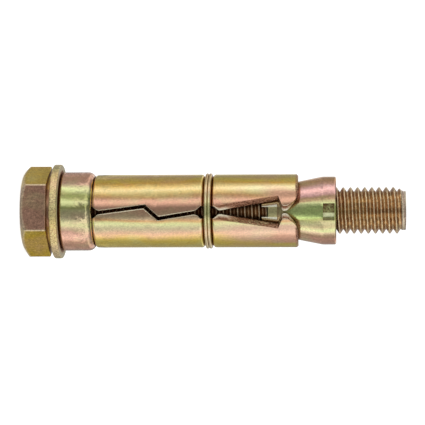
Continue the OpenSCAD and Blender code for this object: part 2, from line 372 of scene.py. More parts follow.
class Shell:
    """Points in millimetres and faces of one closed mesh.

    Each point has a share of cut, for sheared walls and for painted shade in creases and crevices,
    and of worn, for rubbed edges and for painted highlights."""

    def __init__(self):
        self.points = []
        self.faces = []
        self.cut = []
        self.worn = []

    def row(self, points, cut=None, worn=None):
        start = len(self.points)
        self.points += points
        self.cut += cut or [0.0] * len(points)
        self.worn += worn or [0.0] * len(points)
        return list(range(start, len(self.points)))

    def strip(self, lower, upper, closed=True):
        count = len(lower)
        for i in range(count if closed else count - 1):
            j = (i + 1) % count
            self.faces.append((lower[i], lower[j], upper[j], upper[i]))

    def rows(self, loops, cuts=None, worns=None, wrap=False):
        cuts = cuts or [None] * len(loops)
        worns = worns or [None] * len(loops)
        made = [self.row(*row) for row in zip(loops, cuts, worns)]
        for lower, upper in zip(made, made[1:]):
            self.strip(lower, upper)
        if wrap:
            self.strip(made[-1], made[0])
        return made

    def cap(self, row):
        outline = [Vector(self.points[i]) for i in row]
        for triangle in geometry.tessellate_polygon([outline]):
            self.faces.append(tuple(row[i] for i in triangle))

    def lathe(self, outline, cut, worn):
        angles = [math.tau * i / LATHE_STEPS for i in range(LATHE_STEPS)]
        loops = [[polar(r, a, z) for a in angles] for r, z in outline]
        cuts = [[float(share)] * LATHE_STEPS for share in cut]
        worns = [[float(share)] * LATHE_STEPS for share in worn]
        self.rows(loops, cuts, worns, wrap=True)

    def build(self, name, sharp=38):
        mesh = bpy.data.meshes.new(name)
        mesh.from_pydata([(x * MM, y * MM, z * MM) for x, y, z in self.points], [], self.faces)
        for share, values in (("cut", self.cut), ("worn", self.worn)):
            mesh.attributes.new(share, "FLOAT", "POINT").data.foreach_set("value", values)
        work = bmesh.new()
        work.from_mesh(mesh)
        bmesh.ops.remove_doubles(work, verts=work.verts, dist=merge_mm * MM)
        bmesh.ops.dissolve_degenerate(work, edges=work.edges, dist=sliver_mm * MM)
        bmesh.ops.recalc_face_normals(work, faces=work.faces)
        work.to_mesh(mesh)
        work.free()
        mesh.shade_smooth()
        mesh.set_sharp_from_angle(angle=math.radians(sharp))
        piece = bpy.data.objects.new(name, mesh)
        bpy.context.scene.collection.objects.link(piece)
        return piece


def dress(piece, body, node, material):
    piece.data.materials.append(material)
    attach(piece, body)
    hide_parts(node)


# The bolt

def head_angles():
    """Columns round the head for each flat, close together at the trimmed corners."""
    half = math.pi / 6
    near = head_trim - corner_wear
    offsets = [-half, -head_trim] + list(np.linspace(-near, near, FLAT_STEPS)) + [head_trim]
    return [(i * math.pi / 3 + half + offset, offset) for i in range(6) for offset in offsets]


def head_outline(offset):
    """The head's section at an angle from the middle of a flat, from its top to the shank."""
    out_r = min(head_flat_r / math.cos(offset), head_corner_r)
    chamfer_z = (out_r - head_top_r) * math.tan(head_chamfer)
    hex_h = head_h - washer_face_h
    points = [
        (head_cap_r, 0),
        (head_top_r, 0),
        (out_r, chamfer_z),
        (out_r, chamfer_z + rim_wear),
        (out_r, hex_h),
        (washer_face_r, hex_h),
        (washer_face_r, head_h),
        (thread_r, head_h),
    ]
    cuts = [0, head_top_rounding, head_chamfer_rounding, 0, head_under_rounding, 0, washer_face_rounding, 0]
    return eased(points, cuts, HEAD_STEPS)


def thread_outline():
    """One pitch of the thread, from the middle of a root to the next, as heights and radii."""
    half = thread_pitch / 2
    root = thread_root_flat / 2
    crest = thread_crest / 2
    flank = (half - crest - root) / (thread_r - thread_root_r)
    wear = crest + flank * crest_wear
    middle = (root + half - crest) / 2
    points = [
        (0, thread_root_r),
        (root, thread_root_r),
        (middle, thread_flank_r),
        (half - wear, thread_r - crest_wear),
        (half - crest, thread_r),
        (half + crest, thread_r),
        (half + wear, thread_r - crest_wear),
        (thread_pitch - middle, thread_flank_r),
        (thread_pitch - root, thread_root_r),
        (thread_pitch, thread_root_r),
    ]
    root_cut = thread_root_rounding
    crest_cut = thread_crest_rounding
    return eased(points, [0, root_cut, 0, 0, crest_cut, crest_cut, 0, 0, root_cut, 0], steps=2)[:-1]


# Shares of worn and of cut from the thread's root to its crest. The worn share paints the crests pale,
# partly as wear and partly as a painted highlight, and the roots half as pale; the cut share gives
# the flanks the torn colour.
THREAD_RADII = [thread_root_r + 0.05, thread_flank_r, thread_r - crest_wear, thread_r - 0.02]
THREAD_WORN = [0.5, 0.0, 0.0, 0.65]
THREAD_CUT = [0.0, 0.8, 0.4, 0.0]


def hex_bolt():
    shell = Shell()
    columns = head_angles()
    outlines = [head_outline(offset) for angle, offset in columns]
    loops = []
    for k in range(len(outlines[0])):
        loop = []
        for (angle, offset), outline in zip(columns, outlines):
            r, z = outline[k]
            loop.append(polar(r, angle + head_turn, z))
        loops.append(loop)
    rim = [rim_worn] * len(columns)
    edge = [corner_worn if abs(offset) > head_trim - TINY else 0.0 for angle, offset in columns]
    plain = [0.0] * len(columns)
    rim_rows = 2 * (HEAD_STEPS + 1)
    edge_rows = HEAD_STEPS + 1
    other_rows = len(loops) - 1 - rim_rows - edge_rows
    worns = [plain] + [rim] * rim_rows + [edge] * edge_rows + [plain] * other_rows
    head = shell.rows(loops, worns=worns)
    shell.cap(head[0])

    steps = len(columns)
    pitch = thread_outline()
    slope_z = bolt_end - point_length
    turns = math.ceil((bolt_end - head_h) / thread_pitch) + 2

    def thread_point(column, k):
        angle = columns[column][0] + head_turn
        turn, part = divmod(k, len(pitch))
        z, r = pitch[part]
        z += head_h + thread_shift + thread_pitch * (turn - 1 + column / steps)
        if z <= head_h:
            return polar(thread_root_r, angle, head_h)
        if z >= bolt_end:
            return polar(thread_root_r, angle, bolt_end)
        return polar(min(r, point_r + max(0, slope_z - z)), angle, z)

    made = []
    for k in range(turns * len(pitch)):
        radius = pitch[k % len(pitch)][1]
        worn = [np.interp(radius, THREAD_RADII, THREAD_WORN)] * steps
        cut = [np.interp(radius, THREAD_RADII, THREAD_CUT)] * steps
        made.append(shell.row([thread_point(column, k) for column in range(steps)], cut, worn))
    for lower, upper in zip(made, made[1:]):
        shell.strip(lower, upper, closed=False)
    for k in range(len(made) - 1 - len(pitch)):
        above = k + len(pitch)
        shell.faces.append((made[k][-1], made[above][0], made[above + 1][0], made[k + 1][-1]))
    shell.strip(head[-1], made[0])
    shell.cap(made[-1])
    return shell.build("hex_bolt_finish", sharp=32)


# The washer and the ferrule

def flat_washer():
    rim_r = washer_r - washer_rim
    hole_edge_r = washer_hole_r + washer_chamfer
    outline = [(washer_hole_r, head_h + washer_chamfer), (hole_edge_r, head_h)]
    outline += arc((rim_r, head_h + washer_rim), washer_rim, -QUARTER, 0, 6)
    outline += arc((rim_r, washer_top - washer_rim), washer_rim, 0, QUARTER, 6)
    outline += [(ferrule_r + crevice, washer_top), (ferrule_r, washer_top)]
    outline += [(hole_edge_r, washer_top), (washer_hole_r, washer_top - washer_chamfer)]
    facing = [z > washer_top - washer_face_depth for r, z in outline]
    bare = [np.interp(r, [ferrule_r, ferrule_r + crevice], [0, washer_bare]) for r, z in outline]
    # Painted shade on the washer's top face beside the ferrule, as a share of cut in the torn colour
    dark = [np.interp(r, [ferrule_r, ferrule_r + crevice], [crevice_shade, 0]) for r, z in outline]
    shell = Shell()
    shell.lathe(outline, np.multiply(dark, facing), np.multiply(bare, facing))
    return shell.build("flat_washer_finish")


def ferrule():
    edge_centre = (ferrule_r - ferrule_edge, ferrule_bottom + ferrule_edge)
    straight = np.linspace(edge_centre[1], lip_centre[1], 12)[1:-1]
    outline = [(ferrule_hole_r, ferrule_bottom)]
    outline += arc(edge_centre, ferrule_edge, -QUARTER, 0, 8)
    outline += [(ferrule_r, z) for z in straight]
    outline += arc(lip_centre, lip_radius, 0, lip_roll, 12)
    outline += arc(lip_centre, lip_radius - ferrule_wall, lip_roll, 0, 8)
    outline += arc(edge_centre, ferrule_edge - ferrule_wall, 0, -QUARTER, 4)
    outline += [(ferrule_hole_r, ferrule_bottom + ferrule_wall)]
    # Painted shade along the ferrule's lower edge beside the washer, as a share of cut in the torn colour
    fade = [ferrule_bottom + crevice / 2, ferrule_bottom + crevice]
    dark = [np.interp(z, fade, [crevice_shade, 0]) for r, z in outline]
    shell = Shell()
    shell.lathe(outline, dark, [0] * len(outline))
    return shell.build("ferrule_finish")


# The shield's segments

SLEEVE_OUTSIDE = eased(
    [
        (foot_bottom, foot_r - ferrule_gap),
        (foot_bottom + ferrule_gap, foot_r),
        (foot_top, foot_r),
        (foot_top + foot_r - neck_r, neck_r),
        (body_bottom - neck_run, neck_r),
        (body_bottom, shield_r - (shield_r - neck_r) / 2),
        (body_bottom + (shield_r - neck_r) / 2 - lead_depth, shield_r - lead_depth),
        (body_bottom + lead_length, shield_r),
        (groove_bottom, shield_r),
        (groove_bottom + groove_depth, groove_floor_r),
        (groove_top - groove_depth, groove_floor_r),
        (groove_top, shield_r),
        (shield_top - end_chamfer, shield_r),
        (shield_top, shield_r - end_chamfer),
    ],
    [0] * 6 + [lead_rounding, 0, groove_rim_rounding, groove_floor_rounding, groove_floor_rounding,
               groove_rim_rounding, end_rounding, 0],
)
SLEEVE_INSIDE = [
    (foot_bottom, shield_inner_r),
    (groove_bottom - groove_depth, shield_inner_r),
    (groove_bottom, inner_bead_r),
    (groove_top, inner_bead_r),
    (groove_top + groove_depth, shield_inner_r),
    (bore_taper_z, shield_inner_r),
    (shield_top, bore_end_r),
]


def height_rows(lines):
    """Every height at which one of the lines bends, and more where they run straight."""
    heights = sorted(z for line in lines for z in line if foot_bottom <= z <= shield_top)
    rows = [foot_bottom]
    for z in heights:
        gap = z - rows[-1]
        if gap < row_least:
            continue
        parts = max(1, math.ceil(gap / row_most))
        rows += [rows[-1] + gap * k / parts for k in range(1, parts + 1)]
    rows[-1] = shield_top
    return rows


def lips(z):
    """How far the edge is pressed into a lip, at the window's neck and at the lobes."""
    neck_heights = [groove_top - 0.1, groove_top, window_bottom, window_bottom + 1.4, window_bottom + 3.4]
    neck = np.interp(z, neck_heights, [0, 0.5, 1, 1, 0])
    lobe_heights = [window_top, window_top + 0.3, lobe_end, shield_top - 0.8]
    lobe = np.interp(z, lobe_heights, [0, 1, 1, 0])
    return neck, lobe


def edge_shares(z):
    """Shares of cut and of worn along one edge's section, from the outer surface to the bore."""
    window_heights = [window_bottom, window_bottom + 1, window_top - 0.1, window_top + 0.2]
    window = np.interp(z, window_heights, [0, 1, 1, 0])
    back = np.interp(z, [lobe_end, lobe_end + 0.5], [0, 1])
    rim_z = shield_top - end_chamfer
    rim = np.interp(z, [rim_z - 0.3, rim_z - 0.1], [0, 1])
    sheared = max(window, back, rim)
    split_heights = [body_bottom - 0.1, body_bottom, groove_bottom, groove_bottom + 0.1]
    split = np.interp(z, split_heights, [0, split_wear_and_highlight, split_wear_and_highlight, 0])
    neck, lobe = lips(z)
    lip = max(neck, lobe)
    steps = [k / EDGE_STEPS for k in range(EDGE_STEPS + 1)]
    tails = [max(0, 4 * t - 3) for t in steps]
    humps = [max(0, 1 - abs(2.5 * t - 1.2)) for t in steps]

    # The outer point, the rounded corner, the crease, the rounded foot and the inner point
    # Cut: sheared walls, plus painted shade at the lips' outer corners, in their creases and at the lobes'
    # feet; the lips themselves are cleared of it as part of their painted highlight
    cut = [rim]
    cut += [max(sheared * t, lip_shade * lip * tail) for t, tail in zip(steps, tails)]
    cut += [max(sheared, crease_shade * lip)]
    cut += [max(max(sheared, t) * (1 - lip_highlight_lift * lip), lobe * tail) for t, tail in zip(steps, tails)]
    cut += [1]
    # Worn: the split's edges are rubbed pale, which also paints a highlight on them, and the lobes' rounded
    # corners and the lips are painted pale as a highlight
    worn = [0]
    worn += [max(lobe * hump, split * t) for t, hump in zip(steps, humps)]
    worn += [split]
    worn += [max(lip_highlight * lip, split * (1 - t)) for t in steps]
    worn += [0]
    return [float(share) for share in cut], [float(share) for share in worn]


def edge_section(side, through, outside, out_r, in_r, round_over, lip):
    """One edge's section in the split's own frame, from the outer surface to the bore."""
    across = math.sqrt(shield_r ** 2 - outside ** 2)
    bevel = abs(outside - through)
    reach = across + side * outside
    lost = reach ** 2 - 2 * (shield_r ** 2 - out_r ** 2)
    start = (reach - math.sqrt(max(lost, 0))) / 2
    inner = (math.sqrt(in_r ** 2 - through ** 2), through)
    if start < bevel - least_bevel:
        corner = (across - start, outside - side * start)
        foot = (max(across - bevel, inner[0] + foot_room), through)
    else:
        corner = (math.sqrt(out_r ** 2 - through ** 2), through)
        foot = (corner[0] - foot_run, through)
    width = through - corner[1]
    drop = (corner[0] - foot[0]) * crease_at
    crease = (corner[0] - drop + lip * (drop - lip_step), corner[1] + width * crease_at)
    foot = (foot[0] + lip * max(0, crease[0] - lip_slope * abs(width) - foot[0]), through)
    corner_angle = math.atan2(corner[1], corner[0])
    outer_angle = corner_angle + side * 2 * round_over / out_r
    outer = (out_r * math.cos(outer_angle), out_r * math.sin(outer_angle))
    foot_rounding = 0.1 + 0.3 * round_over
    return eased([outer, corner, crease, foot, inner], [0, round_over, 0, foot_rounding, 0], EDGE_STEPS)


def shield_segment(index):
    through = {side: split_edge(side, THROUGH) for side in (1, -1)}
    outside = {side: split_edge(side, OUTSIDE) for side in (1, -1)}
    outer_z, outer_r = zip(*SLEEVE_OUTSIDE)
    inner_z, inner_r = zip(*SLEEVE_INSIDE)
    lines = [outer_z, inner_z] + [edges[s][0] for edges in (through, outside) for s in (1, -1)]
    shell = Shell()
    loops = []
    cuts = []
    worns = []
    for z in height_rows(lines):
        out_r = np.interp(z, outer_z, outer_r)
        in_r = np.interp(z, inner_z, inner_r)
        round_over = np.interp(z, [window_top, lobe_start], [edge_rounding, lobe_rounding])
        lip = max(lips(z))
        sections = {}
        for side in (1, -1):
            y_through = np.interp(z, *through[side])
            y_outside = np.interp(z, *outside[side])
            sections[side] = edge_section(side, y_through, y_outside, out_r, in_r, round_over, lip)
        start = [(x, y, z) for x, y in sections[1]]
        end = [turned((x, y, z), split_step) for x, y in sections[-1]]
        loop = start[::-1]
        for radius, first, last, tail in ((out_r, start[0], end[0], end), (in_r, end[-1], start[-1], [])):
            a = math.atan2(first[1], first[0])
            b = math.atan2(last[1], last[0])
            for k in range(1, ARC_STEPS):
                loop.append(polar(radius, a + (b - a) * k / ARC_STEPS, z))
            loop += tail
        turn = first_split + (index - 1) * split_step
        loops.append([turned(point, turn) for point in loop])
        cut, worn = edge_shares(z)
        cuts.append(cut[::-1] + [cut[0]] * (ARC_STEPS - 1) + cut + [1.0] * (ARC_STEPS - 1))
        worns.append(worn[::-1] + [0.0] * (ARC_STEPS - 1) + worn + [0.0] * (ARC_STEPS - 1))
    made = shell.rows(loops, cuts, worns)
    shell.cap(made[0])
    shell.cap(made[-1])
    return shell.build(f"shield_segment_{index}_finish", sharp=34)


# The wire ring

def ring_height(turn):
    """Height of the wire's middle after so many turns, with a short cross-over between levels."""
    u = max(0, (turn % 1 - 1 + ring_cross) / ring_cross)
    level = math.floor(turn) + u * u * (3 - 2 * u)
    return ring_z + ring_rise * (level - (ring_turns - 1) / 2)


def wire_tube(shell, turns, radii):
    """A round wire along the ring, with a radius for each place, given in turns from its start."""
    loops = []
    for turn, radius in zip(turns, radii):
        angle = math.tau * turn - first_split
        z = ring_height(turn)
        loop = []
        for k in range(WIRE_SIDES):
            b = math.tau * (k + 0.5) / WIRE_SIDES
            loop.append(polar(ring_r + radius * math.cos(b), angle, z + radius * math.sin(b)))
        loops.append(loop)
    made = shell.rows(loops)
    shell.cap(made[0])
    shell.cap(made[-1])


def wire_ring(index):
    """The ring's turns over one segment, each with a tongue inside the next segment's wire.

    The tongues bridge the splits when the segments spread and the ring opens."""
    shell = Shell()
    last = ring_turns - ring_cross
    share = 1 / SEGMENTS
    first = 2 * first_split / math.tau + (index - 1) * share
    for whole in range(ring_turns + 1):
        start = max(0, first + whole)
        end = min(last, first + whole + share)
        if end <= start:
            continue
        turns = list(np.linspace(start, end, max(2, round((end - start) * LATHE_STEPS))))
        radii = [wire_r] * len(turns)
        tip = min(last, end + ring_tongue / (math.tau * ring_r))
        if tip > end:
            turns += list(np.linspace(end, tip, TONGUE_STEPS))
            radii += [wire_r * ring_sheath] * TONGUE_STEPS
        wire_tube(shell, turns, radii)
    return shell.build(f"wire_ring_{index}_finish")


# The taper nut

NUT_OUTSIDE = eased(
    [
        (nut_front_z, nut_front_r),
        (taper_bottom, nut_front_r),
        (taper_top, nut_back_r),
        (nut_back_z - nut_edge, nut_back_r),
    ],
    [0, taper_front_rounding, taper_back_rounding, 0],
)
BACK_EDGE = arc((nut_back_r - nut_edge, nut_back_z - nut_edge), nut_edge, 0, QUARTER, 6)
NUT_OUTSIDE += [(z, r) for r, z in BACK_EDGE[1:]]


def nut_columns(half):
    """Sideways offsets across a key or pocket, from the middle of the split outwards."""
    notch = [notch_half * k / NOTCH_STEPS for k in range(NOTCH_STEPS + 1)]
    side = notch + [notch_half + wall_run, half - key_bevel, half, half + wall_run]
    return [-y for y in side[:0:-1]] + side


def nut_heights(outer_z):
    marks = [notch_z, key_top, key_top + wall_run, pocket_bottom, pocket_bottom + wall_run]
    marks += [pocket_top - wall_run, pocket_top]
    heights = sorted(set(list(outer_z) + marks + list(np.linspace(taper_bottom, taper_top, 9))))
    return [z for i, z in enumerate(heights) if i == 0 or z - heights[i - 1] > nut_row_least]


def nut_place(y, z, half, base_r):
    """The nut's outside at an offset and a height, with its shares of cut and of worn."""
    inside = abs(y) <= half + TINY
    if inside and pocket_bottom < z < pocket_top:
        depth = np.interp(y, [0, pocket_step], [pocket_depth, pocket_shallow])
        # The pocket's deeper half takes painted shade in the torn colour
        cut = pocket_shade if y <= 0 else 0.0
        # Its shallow ledge is painted pale as a highlight
        worn = ledge_highlight if 0 < y <= pocket_step else 0.0
        return (nut_back_r - depth, y), cut, worn
    r = base_r
    worn = 0.0
    if inside and z <= key_top:
        r = key_r - key_bevel if abs(y) > half - key_bevel + TINY else key_r
        # The key's outer strips are painted pale as a highlight
        worn = 1.0 if abs(y) > notch_half else 0.0
    return (math.sqrt(r ** 2 - y ** 2), y), 0.0, worn


def taper_nut():
    outer_z, outer_r = zip(*NUT_OUTSIDE)
    heights = nut_heights(outer_z)
    plain = [0.0] * (NUT_STEPS - 1)
    shell = Shell()
    outer_rows = []
    inner_rows = []
    for z in heights:
        base_r = np.interp(z, outer_z, outer_r)
        half = np.interp(z, [nut_front_z, key_top], [key_front, key_back])
        offsets = nut_columns(half)
        section, cut, worn = zip(*[nut_place(y, z, half, base_r) for y in offsets])
        bore = [(math.sqrt(nut_bore_r ** 2 - y ** 2), y) for y in offsets]
        outer = []
        inner = []
        for third in range(SEGMENTS):
            turn = first_split + third * split_step
            for line, made in ((section, outer), (bore, inner)):
                made += [turned((x, y, z), turn) for x, y in line]
                x, y = line[-1]
                angle = math.atan2(y, x)
                radius = math.hypot(x, y)
                for k in range(1, NUT_STEPS):
                    a = angle + (split_step - 2 * angle) * k / NUT_STEPS
                    made.append(polar(radius, turn + a, z))
        outer_rows.append(shell.row(outer, (list(cut) + plain) * SEGMENTS, (list(worn) + plain) * SEGMENTS))
        inner_rows.append(shell.row(inner))

    count = len(outer_rows[0])
    width = count // SEGMENTS
    middle = len(nut_columns(key_front)) // 2
    notch_cells = range(middle - NOTCH_STEPS, middle + NOTCH_STEPS)

    def in_notch(row, column):
        return heights[row] < notch_z - TINY and column % width in notch_cells

    for row in range(len(heights) - 1):
        for column in range(count):
            after = (column + 1) % count
            if in_notch(row, column):
                continue
            for rows in (outer_rows, inner_rows):
                low, high = rows[row], rows[row + 1]
                shell.faces.append((low[column], low[after], high[after], high[column]))
    first_whole = heights.index(notch_z)
    for column in range(count):
        after = (column + 1) % count
        front = first_whole if in_notch(0, column) else 0
        for row in (front, len(heights) - 1):
            outer, inner = outer_rows[row], inner_rows[row]
            shell.faces.append((outer[column], outer[after], inner[after], inner[column]))
        if in_notch(0, column) != in_notch(0, column - 1):
            for row in range(first_whole):
                shell.faces.append((outer_rows[row][column], outer_rows[row + 1][column],
                                    inner_rows[row + 1][column], inner_rows[row][column]))
    return shell.build("taper_nut_finish", sharp=30)


# Materials

class Tree:
    """Adds linked nodes to a material or world."""

    def __init__(self, owner):
        owner.use_nodes = True
        self.tree = owner.node_tree
        self.tree.nodes.clear()

    def add(self, kind, inputs=None, **settings):
        node = self.tree.nodes.new(kind)
        for name, value in settings.items():
            setattr(node, name, value)
        for name, value in (inputs or {}).items():
            if isinstance(value, bpy.types.NodeSocket):
                self.tree.links.new(value, node.inputs[name])
            else:
                node.inputs[name].default_value = value
        return node

    def math(self, operation, a, b=0.0, c=0.0):
        return self.add("ShaderNodeMath", {0: a, 1: b, 2: c}, operation=operation).outputs[0]

    def ramp(self, value, stops):
        node = self.add("ShaderNodeValToRGB", {"Fac": value})
        ramp = node.color_ramp
        while len(ramp.elements) < len(stops):
            ramp.elements.new(0.5)
        for element, (place, colour) in zip(ramp.elements, stops):
            element.position = place
            element.color = (*colour, 1)
        return node.outputs["Color"]

    def noise(self, place, per_mm, detail=2.0, rough=0.5):
        """Noise with so many features to a millimetre along x, y and z."""
        scale = tuple(count / MM for count in per_mm)
        mapped = self.add("ShaderNodeMapping", {"Vector": place, "Scale": scale}).outputs[0]
        node = self.add("ShaderNodeTexNoise", {"Vector": mapped, "Scale": 1.0, "Detail": detail,
                                               "Roughness": rough})
        return node.outputs["Fac"]

    def mix(self, factor, a, b, blend="MIX"):
        node = self.add("ShaderNodeMix", {0: factor, 6: a, 7: b}, data_type="RGBA", blend_type=blend)
        return node.outputs[2]

    def stretch(self, value, low, high, to_low, to_high):
        node = self.add("ShaderNodeMapRange", {"Value": value, 1: low, 2: high, 3: to_low, 4: to_high})
        return node.outputs[0]

    def swing(self, noise, low, high):
        """The range that noise mostly keeps to, stretched to the range from low to high."""
        return self.stretch(noise, 0.3, 0.7, low, high)

    def bearing(self, x, y):
        """Degrees round the axis, from the front."""
        turn = self.math("ARCTAN2", x, self.math("MULTIPLY", y, -1.0))
        return self.math("MULTIPLY", turn, math.degrees(1))


# Colours of the zinc's film, of bare and torn steel, and of painted shade
OLIVE = (0.92, 0.69, 0.13)
OCHRE = (0.64, 0.43, 0.05)
AMBER = (0.81, 0.55, 0.08)
DARK_GOLD = (0.90, 0.54, 0.12)
GOLD = (0.92, 0.70, 0.28)
YELLOW = (0.95, 0.73, 0.36)
STRAW = (0.92, 0.63, 0.23)
KHAKI = (0.62, 0.54, 0.30)
SAND = (0.82, 0.65, 0.34)
TAN = (0.80, 0.46, 0.20)
SALMON = (0.94, 0.62, 0.45)
PEACH = (0.94, 0.59, 0.36)
PINK = (0.92, 0.54, 0.40)
BLUSH = (0.95, 0.54, 0.49)
ROSE = (0.88, 0.49, 0.33)
MAUVE = (0.88, 0.52, 0.34)
PLUM = (0.66, 0.42, 0.30)
COCOA = (0.55, 0.31, 0.21)
UMBER = (0.52, 0.34, 0.19)
BEIGE = (0.92, 0.70, 0.44)
CREAM = (0.94, 0.84, 0.49)
LIME = (0.80, 0.83, 0.40)
FERN = (0.54, 0.58, 0.20)
MOSS = (0.80, 0.72, 0.36)
GREEN = (0.72, 0.90, 0.33)
BRONZE = (0.42, 0.25, 0.09)
BRIGHT_BRONZE = (0.98, 0.68, 0.33)
STEEL = (0.62, 0.56, 0.45)
PALE = (0.86, 0.84, 0.66)
BRASS = (0.86, 0.72, 0.50)
RUSSET = (0.36, 0.16, 0.09)
DUSK = (0.20, 0.15, 0.07)
# Painted shade: the dark brown laid into crevices and hollows
SHADE_BROWN = (0.24, 0.11, 0.045)

# Colours round each piece, by degrees from the front split, with the image's top side negative
SHIELD_BANDS = [(-180, PINK), (-165, BEIGE), (-148, STRAW), (-134, GOLD), (-120, PINK), (-107, LIME),
                (-94, STRAW), (-82, OLIVE), (-70, GOLD), (-60, OLIVE), (-52, DARK_GOLD), (-45, STRAW),
                (-39, YELLOW), (-33, STRAW), (-28, TAN), (-22, ROSE), (-13, ROSE), (-6, MAUVE), (6, BEIGE),
                (11, TAN), (16, LIME), (23, CREAM), (29, BEIGE), (34, PEACH), (43, STRAW), (51, OLIVE),
                (80, OLIVE), (95, STRAW), (110, PEACH), (127, LIME), (145, PINK), (180, PINK)]
FERRULE_BANDS = [(-180, LIME), (-150, CREAM), (-120, PINK), (-90, ROSE), (-60, ROSE), (-48, PLUM),
                 (-38, LIME), (-30, FERN), (-25, FERN), (-19, LIME), (-10, FERN), (-4, LIME), (8, CREAM),
                 (20, LIME), (26, BEIGE), (33, PINK), (42, PINK), (50, ROSE), (90, ROSE), (125, PINK),
                 (150, CREAM), (180, LIME)]
NUT_BANDS = [(-180, LIME), (-150, CREAM), (-120, PINK), (-90, TAN), (-62, TAN), (-48, BLUSH),
             (-33, BLUSH), (-27, UMBER), (-21, UMBER), (-16, LIME), (-8, GREEN), (7, GREEN), (13, FERN),
             (20, LIME), (28, MOSS), (34, LIME), (40, BEIGE), (47, UMBER), (56, ROSE), (90, ROSE),
             (125, PINK), (150, CREAM), (180, LIME)]
WASHER_BANDS = [(-180, SAND), (-80, KHAKI), (-50, GOLD), (-20, SAND), (20, GOLD), (50, SAND), (80, KHAKI),
                (180, SAND)]
RING_BANDS = [(-180, LIME), (-70, TAN), (-30, BEIGE), (0, LIME), (30, BEIGE), (60, BEIGE), (180, LIME)]

# Patches towards the shield's end: the height where each begins and is full, its degrees and colour
lobe_blush = groove_top + 9
END_PATCHES = [
    (groove_top, lobe_blush, (18, 54), SALMON),
    # The cream patch on the top side is a painted highlight
    (groove_top, lobe_blush, (-47, -33), CREAM),
    (lobe_blush, lobe_blush + 4, (-41, -15), ROSE),
    (lobe_blush, lobe_blush + 4, (37, 60), ROSE),
]
patch_edge = 5
patch_strength = 0.9

# How far each change of colour along the axis takes, and how deep the finish's grain and pits are
zone_fade = 0.15
front_fade = 0.8
grain_depth = 0.05
pit_depth = 0.22


def head_bands():
    """A colour for each flat, from the back round the image's top side and front."""
    flats = [OCHRE, COCOA, AMBER, COCOA, OCHRE, COCOA, OCHRE]
    corner = math.degrees(head_turn) - 150
    bands = [(-180, flats[0])]
    for k in range(6):
        bands += [(corner + 60 * k - 1, flats[k]), (corner + 60 * k + 1, flats[k + 1])]
    return bands


def film(t, place, z, degrees, bands, wander, tint, zones, front, patches):
    """The colour of the zinc's film, which changes round the axis and wanders along it."""
    clouds = t.noise(place, (0.10, 0.10, 0.05), 2.0)
    streaks = t.noise(place, (0.9, 0.9, 0.06), 3.0, 0.6)
    drift = t.math("ADD", t.swing(clouds, -wander, wander), t.swing(streaks, -wander / 3, wander / 3))
    shifted = t.math("ADD", degrees, drift)
    stops = [((degree + 180) / 360, tone) for degree, tone in bands]
    colour = t.ramp(t.stretch(shifted, -180, 180, 0, 1), stops)
    for start, dark, light in zones:
        streaked = t.mix(t.stretch(streaks, 0.4, 0.6, 0, 1), (*dark, 1), (*light, 1))
        colour = t.mix(t.stretch(z, start * MM, (start + zone_fade) * MM, 0, 1), colour, streaked)
    if front:
        end, tone = front
        colour = t.mix(t.stretch(z, end * MM, (end + front_fade) * MM, 1, 0), colour, (*tone, 1))
    for start, full, (first, last), tone in patches:
        along = t.stretch(z, start * MM, full * MM, 0, patch_strength)
        away = t.math("ABSOLUTE", t.math("SUBTRACT", shifted, (first + last) / 2))
        half = (last - first) / 2
        side = t.stretch(away, half - patch_edge, half + patch_edge, 1, 0)
        colour = t.mix(t.math("MULTIPLY", along, side), colour, (*tone, 1))
    blush = t.noise(place, (0.2, 0.2, 0.12), 3.0, 0.6)
    colour = t.mix(t.stretch(blush, 0.5, 0.75, 0, tint), colour, (*PINK, 1))
    return t.mix(t.stretch(blush, 0.5, 0.25, 0, tint), colour, (*LIME, 1))


